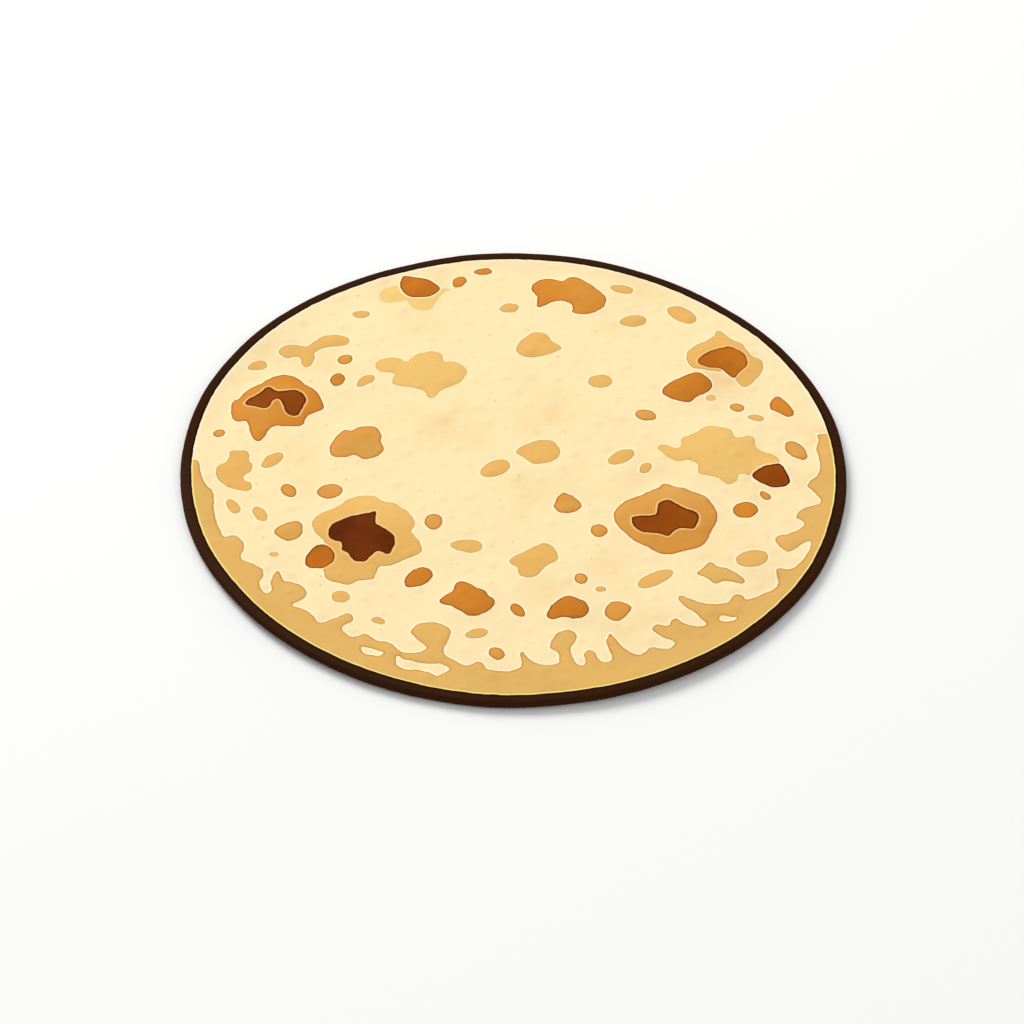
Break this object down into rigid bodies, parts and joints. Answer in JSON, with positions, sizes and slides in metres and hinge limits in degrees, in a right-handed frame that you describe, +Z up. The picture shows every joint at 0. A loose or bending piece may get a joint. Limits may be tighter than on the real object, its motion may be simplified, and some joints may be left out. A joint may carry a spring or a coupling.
{
  "type": "roti",
  "caption": "Round thin griddle-baked flatbread with a toasted rim, lying flat.",
  "frame": {"origin": "on the surface the bread lies on, under the middle of its outline", "axes": "+Z up through the bread's thickness, X to the right and Y to the back as it lies"},
  "size_m": [0.18, 0.18, 0.0037],
  "materials": {
    "bread": "matt baked dough, cream with golden and brown griddle marks and a dark toasted rim"
  },
  "bodies": {
    "root": {"roti": "bread"}
  },
  "joints": []
}
